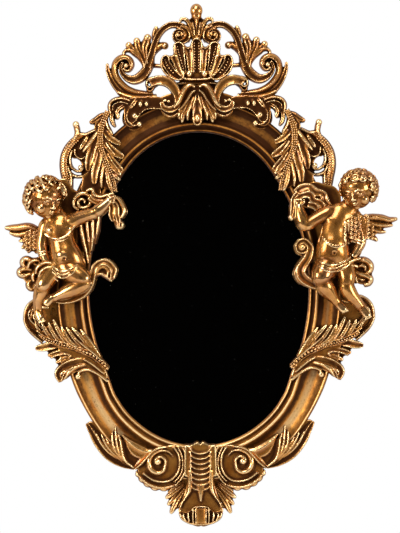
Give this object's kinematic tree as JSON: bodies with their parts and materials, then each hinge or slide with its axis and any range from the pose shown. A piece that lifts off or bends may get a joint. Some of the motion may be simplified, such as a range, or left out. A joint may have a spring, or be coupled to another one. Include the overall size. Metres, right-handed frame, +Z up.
{
  "type": "wall mirror",
  "caption": "Oval wall mirror in a carved and gilded baroque frame with scrolls, acanthus leaves, a shell crest and two winged cherubs.",
  "frame": {"origin": "centre of the bounding box", "axes": "+Z up, +X to the viewer's right, +Y into the wall, so the viewer looks along +Y at the glass"},
  "size_m": [0.784, 0.104, 1.044],
  "materials": {
    "gilded_carving": "antique gold leaf, toned and rubbed",
    "gilded_moulding": "antique gold leaf, toned and rubbed",
    "silvered_glass": "polished",
    "hardboard": "bare fibre board",
    "packing_sheet": "foam sheet",
    "brassed_steel": "brass plated steel",
    "rubber_pad": "moulded"
  },
  "bodies": {
    "frame": {"back_board": "hardboard", "base_c_scroll_left": "gilded_carving", "base_c_scroll_right": "gilded_carving", "base_leaf_left": "gilded_carving", "base_leaf_right": "gilded_carving", "base_pendant": "gilded_carving", "base_shell": "gilded_carving", "base_spray_left": "gilded_carving", "base_spray_right": "gilded_carving", "cherub_left": "gilded_carving", "cherub_right": "gilded_carving", "cherub_wing_left": "gilded_carving", "cherub_wing_right": "gilded_carving", "crest_bracket_left": "gilded_carving", "crest_bracket_right": "gilded_carving", "crest_collar": "gilded_carving", "crest_drop_leaf": "gilded_carving", "crest_leaf_fan_left": "gilded_carving", "crest_leaf_fan_right": "gilded_carving", "crest_outer_scroll_left": "gilded_carving", "crest_outer_scroll_right": "gilded_carving", "crest_plume": "gilded_carving", "crest_s_scroll_left": "gilded_carving", "crest_s_scroll_right": "gilded_carving", "crest_shell": "gilded_carving", "curl_drape_left": "gilded_carving", "curl_drape_right": "gilded_carving", "frame_moulding": "gilded_moulding", "glass_packing": "packing_sheet", "hand_scarf_left": "gilded_carving", "hand_scarf_right": "gilded_carving", "hanger_screws": "brassed_steel", "hanger_strap_left": "brassed_steel", "hanger_strap_right": "brassed_steel", "hip_drape_left": "gilded_carving", "hip_drape_right": "gilded_carving", "lower_acanthus_left": "gilded_carving", "lower_acanthus_right": "gilded_carving", "lower_outer_scroll_left": "gilded_carving", "lower_outer_scroll_right": "gilded_carving", "mirror_glass": "silvered_glass", "shoulder_rocaille_left": "gilded_carving", "shoulder_rocaille_right": "gilded_carving", "side_beaded_scroll_left": "gilded_carving", "side_beaded_scroll_right": "gilded_carving", "turn_button_screws": "brassed_steel", "upper_acanthus_left": "gilded_carving", "upper_acanthus_right": "gilded_carving", "wall_bumpers": "rubber_pad"},
    "hanger_ring_left": {"hanger_ring_left": "brassed_steel"},
    "hanger_ring_right": {"hanger_ring_right": "brassed_steel"},
    "turn_button_1": {"turn_button_1": "brassed_steel"},
    "turn_button_2": {"turn_button_2": "brassed_steel"},
    "turn_button_3": {"turn_button_3": "brassed_steel"},
    "turn_button_4": {"turn_button_4": "brassed_steel"},
    "turn_button_5": {"turn_button_5": "brassed_steel"},
    "turn_button_6": {"turn_button_6": "brassed_steel"}
  },
  "joints": [
    {"name": "hanger_ring_left_swing", "type": "hinge", "parent": "frame", "child": "hanger_ring_left", "pos_m": [-0.22697, 0.0472, 0.102], "axis": [1, 0, 0], "range_deg": [0, 180]},
    {"name": "hanger_ring_right_swing", "type": "hinge", "parent": "frame", "child": "hanger_ring_right", "pos_m": [0.22697, 0.0472, 0.102], "axis": [1, 0, 0], "range_deg": [0, 180]},
    {"name": "turn_button_1_swivel", "type": "hinge", "parent": "frame", "child": "turn_button_1", "pos_m": [-0.09731, 0.045, 0.26114], "axis": [0, 1, 0], "continuous": true},
    {"name": "turn_button_2_swivel", "type": "hinge", "parent": "frame", "child": "turn_button_2", "pos_m": [-0.24015, 0.045, -0.07511], "axis": [0, 1, 0], "continuous": true},
    {"name": "turn_button_3_swivel", "type": "hinge", "parent": "frame", "child": "turn_button_3", "pos_m": [-0.09731, 0.045, -0.35714], "axis": [0, 1, 0], "continuous": true},
    {"name": "turn_button_4_swivel", "type": "hinge", "parent": "frame", "child": "turn_button_4", "pos_m": [0.09731, 0.045, -0.35714], "axis": [0, 1, 0], "continuous": true},
    {"name": "turn_button_5_swivel", "type": "hinge", "parent": "frame", "child": "turn_button_5", "pos_m": [0.24015, 0.045, -0.07511], "axis": [0, 1, 0], "continuous": true},
    {"name": "turn_button_6_swivel", "type": "hinge", "parent": "frame", "child": "turn_button_6", "pos_m": [0.09731, 0.045, 0.26114], "axis": [0, 1, 0], "continuous": true}
  ]
}
